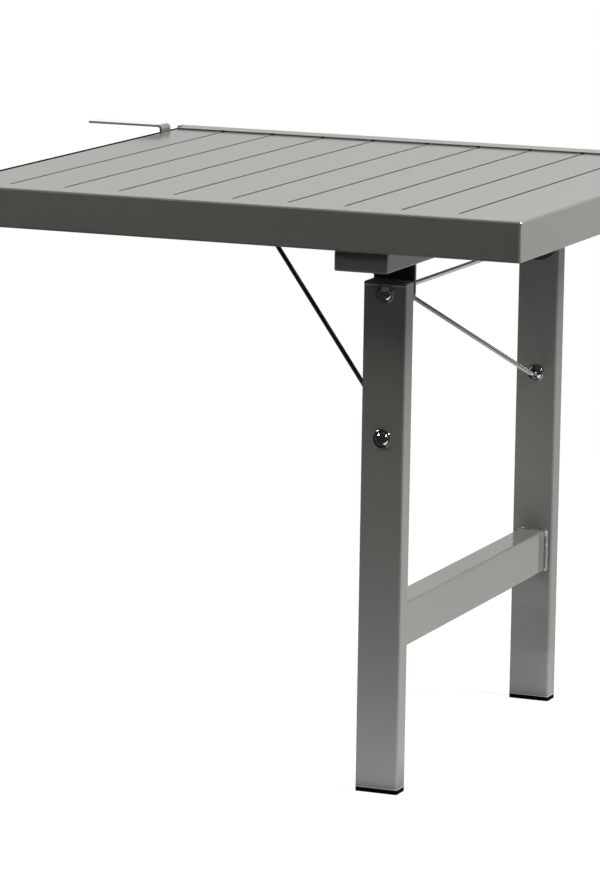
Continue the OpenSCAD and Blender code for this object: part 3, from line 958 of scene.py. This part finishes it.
class TABLE_OT_ease_tube_ends(bpy.types.Operator):
    """Rounds the sawn ends of the leg tubes with a fine rim over the plugs and foot caps"""

    bl_idname = "table.ease_tube_ends"
    bl_label = "Ease Tube Ends"

    def execute(self, context):
        fittings = context.scene.table_fittings
        for _, name in SIDES:
            low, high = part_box("leg_" + name)
            rims = [tube(rim_path(low, high, z, fittings), fittings.rim, sides=10, looped=True)
                    for z in (low.z + fittings.rim, high.z - fittings.rim)]
            # The rims are coated lighter than the legs: a painted highlight along the tubes'
            # ends
            add_piece("leg_rims_" + name, joined(rims), "painted_rim_highlight", "leg_frame")
        return {"FINISHED"}


def soft_box(name, place, aim, width, height, power, tint=(1, 1, 1)):
    """A rectangular lamp that looks at a point and shows neither to the camera nor in gloss"""
    data = bpy.data.lights.new(name, "AREA")
    data.shape = "RECTANGLE"
    data.size = width
    data.size_y = height
    data.energy = power
    data.color = tint
    lamp = bpy.data.objects.new(name, data)
    bpy.context.scene.collection.objects.link(lamp)
    lamp.location = place
    lamp.rotation_euler = (Vector(aim) - Vector(place)).to_track_quat("-Z", "Y").to_euler()
    lamp.visible_camera = False
    lamp.visible_glossy = False
    return lamp


def floor_patch(name, x, y, width, depth, power, tint):
    """A lamp that lies on the floor and shines up, as a brightly lit patch of paper does"""
    place = Vector((x, y, 4 * MM))
    soft_box(name, place, place + Vector((0, 0, 1)), width, depth, power, tint)


def studio_world(stage):
    """White behind the table for the eye and in reflections, dark before it in reflections,
    and the ambient light for rough surfaces"""
    tree = Tree(bpy.data.worlds.new("studio"))
    seen, glossy = tree.rays()
    direction = tree.place("Generated")
    behind = (tree.axis(direction, "Y") + tree.axis(direction, "X") * 0.35).ramp(-0.15, 0.5)
    white, sky, front, ambient = (
        tree.glow("ShaderNodeBackground", strength)
        for strength in (1.0, stage.gloss_sky, stage.gloss_front, stage.ambient))
    light = tree.mixed(glossy, ambient, tree.mixed(behind, front, sky))
    return tree.finish(tree.mixed(seen, light, white))


def pale_floor(stage):
    """White with a faint shadow for the eye, dark grey for light, and in reflections bright
    where it is open and dim under the table and before it"""
    tree = Tree(bpy.data.materials.new("pale_floor"))
    seen, glossy = tree.rays()
    place = tree.place()
    across = tree.axis(place, "X")
    back = tree.axis(place, "Y")
    away = Value(tree, tree.node(
        "ShaderNodeVectorMath", {"operation": "LENGTH"}, {0: place}).outputs["Value"])
    paper, shadow, near, far, dim = (
        tree.glow("ShaderNodeEmission", strength)
        for strength in (1.0, stage.floor_glow, stage.gloss_near, stage.gloss_far,
                         stage.gloss_front))

    catch = tree.node("ShaderNodeBsdfDiffuse", None, {"Color": (0.16, 0.16, 0.16, 1)})
    shaded = tree.node("ShaderNodeAddShader", None, {0: shadow.outputs[0], 1: catch.outputs[0]})
    white = tree.mixed(away.ramp(1.2, 2.6), shaded, paper)

    behind_legs = back.ramp(0.05, 0.25) * across.ramp(-0.3, -0.1)
    beside_legs = back.ramp(-0.62, -0.5) * across.ramp(0.26, 0.34)
    under_table = back.ramp(-0.45, -0.1) * 0.05
    mirrored = tree.mixed((behind_legs + beside_legs + under_table).clamped(), dim,
                          tree.mixed(back.ramp(0.6, 3.2), near, far))

    grey = tree.node("ShaderNodeBsdfDiffuse", None, {"Color": (stage.floor_tone,) * 3 + (1,)})
    return tree.finish(tree.mixed(seen, tree.mixed(glossy, grey, mirrored), white))


class TABLE_OT_set_stage(bpy.types.Operator):
    """Sets the floor, the studio light and the camera"""

    bl_idname = "table.set_stage"
    bl_label = "Set Stage"

    def execute(self, context):
        scene = context.scene
        stage = scene.table_stage
        scene.view_settings.view_transform = "Standard"

        half = stage.floor_size / 2
        # The floor lies just under the feet, so that the two don't share a plane
        sunk = -0.2 * MM
        corners = [(x, y, sunk) for x, y in ((-half, -half), (half, -half), (half, half),
                                             (-half, half))]
        mesh = bpy.data.meshes.new("floor")
        mesh.from_pydata(corners, [], [(0, 1, 2, 3)])
        mesh.materials.append(pale_floor(stage))
        floor = bpy.data.objects.new("floor", mesh)
        scene.collection.objects.link(floor)

        scene.world = studio_world(stage)
        # Lamps aim at this point between the legs
        legs = (0.2, 0.0, 0.5)
        soft_box("overhead_box", (0.2, 0.5, 3.2), (0.1, 0.1, 0.7), 3.0, 3.0,
                 stage.overhead_power)
        soft_box("high_right_box", (2.6, 0.2, 2.8), legs, 1.6, 1.6,
                 stage.high_right_power, stage.right_tint)
        soft_box("right_panel", (3.4, 0.2, 1.0), legs, 2.4, 1.6,
                 stage.right_power, stage.right_tint)
        soft_box("back_panel", (-1.4, 4.0, 1.5), (0.0, 0.0, 0.5), 3.0, 2.0, stage.back_power)
        soft_box("left_panel", (-3.4, 0.2, 1.2), legs, 2.4, 2.2, stage.left_power)
        soft_box("front_box", (-0.6, -5.0, 2.4), (0.1, 0.0, 0.5), 2.0, 2.0, stage.front_power)
        for name, x in (("left_glint", -3.9), ("right_glint", 3.6)):
            glint = soft_box(name, (x, -2.4, 3.4), (0.2, -0.3, 0.45), 0.9, 0.9,
                             stage.glint_power)
            glint.visible_glossy = True
            glint.visible_diffuse = False
        soft_box("high_front_box", (-1.0, -1.8, 3.2), (0.1, -0.3, 0.6), 1.2, 1.2,
                 stage.high_front_power)
        soft_box("fill_card", (0.02, 0.06, 0.27), (0.23, 0.27, 0.33), 0.12, 0.12,
                 stage.fill_power)
        floor_patch("near_patch", 0.25, -0.445, 1.0, 0.28, stage.near_power, stage.floor_tint)
        floor_patch("side_patch", 0.395, -0.01, 0.26, 0.62, stage.side_power, stage.floor_tint)
        floor_patch("under_patch", 0.23, 0.01, 0.7, 0.5, stage.under_power, stage.floor_tint)

        data = bpy.data.cameras.new("camera")
        data.sensor_width = 36
        data.lens = stage.lens
        data.clip_end = 200
        camera = bpy.data.objects.new("camera", data)
        scene.collection.objects.link(camera)
        camera.matrix_world = (
            Matrix.Translation(stage.camera_place)
            @ Matrix.Rotation(stage.heading, 4, "Z")
            @ Matrix.Rotation(stage.pitch, 4, "X")
            @ Matrix.Rotation(stage.roll, 4, "Z"))
        scene.camera = camera
        return {"FINISHED"}


class TABLE_PT_dressing(bpy.types.Panel):
    """Lists the table's settings and pieces in the sidebar"""

    bl_idname = "TABLE_PT_dressing"
    bl_label = "Hanging Slatted Table"
    bl_space_type = "VIEW_3D"
    bl_region_type = "UI"
    bl_category = "Table"

    def draw(self, context):
        for name, settings in SETTINGS.items():
            column = self.layout.column(align=True)
            column.label(text=settings.__doc__)
            for field in settings.__annotations__:
                column.prop(getattr(context.scene, name), field)
        for operator in OPERATORS:
            self.layout.operator(operator.bl_idname)


OPERATORS = (
    TABLE_OT_coat_metalwork,
    TABLE_OT_mould_plastics,
    TABLE_OT_bend_rods,
    TABLE_OT_press_caps,
    TABLE_OT_drive_screws,
    TABLE_OT_lay_welds,
    TABLE_OT_seam_corners,
    TABLE_OT_ease_tube_ends,
    TABLE_OT_set_stage,
)


def register():
    for settings in SETTINGS.values():
        bpy.utils.register_class(settings)
    for name, settings in SETTINGS.items():
        setattr(bpy.types.Scene, name, bpy.props.PointerProperty(type=settings))
    for operator in OPERATORS:
        bpy.utils.register_class(operator)
    bpy.utils.register_class(TABLE_PT_dressing)


def unregister():
    bpy.utils.unregister_class(TABLE_PT_dressing)
    for operator in reversed(OPERATORS):
        bpy.utils.unregister_class(operator)
    for name in SETTINGS:
        delattr(bpy.types.Scene, name)
    for settings in reversed(SETTINGS.values()):
        bpy.utils.unregister_class(settings)


def main():
    register()
    bpy.ops.table.coat_metalwork()
    bpy.ops.table.mould_plastics()
    bpy.ops.table.bend_rods()
    bpy.ops.table.press_caps()
    bpy.ops.table.drive_screws()
    bpy.ops.table.lay_welds()
    bpy.ops.table.seam_corners()
    bpy.ops.table.ease_tube_ends()
    bpy.ops.table.set_stage()


if __name__ == "__main__":
    main()
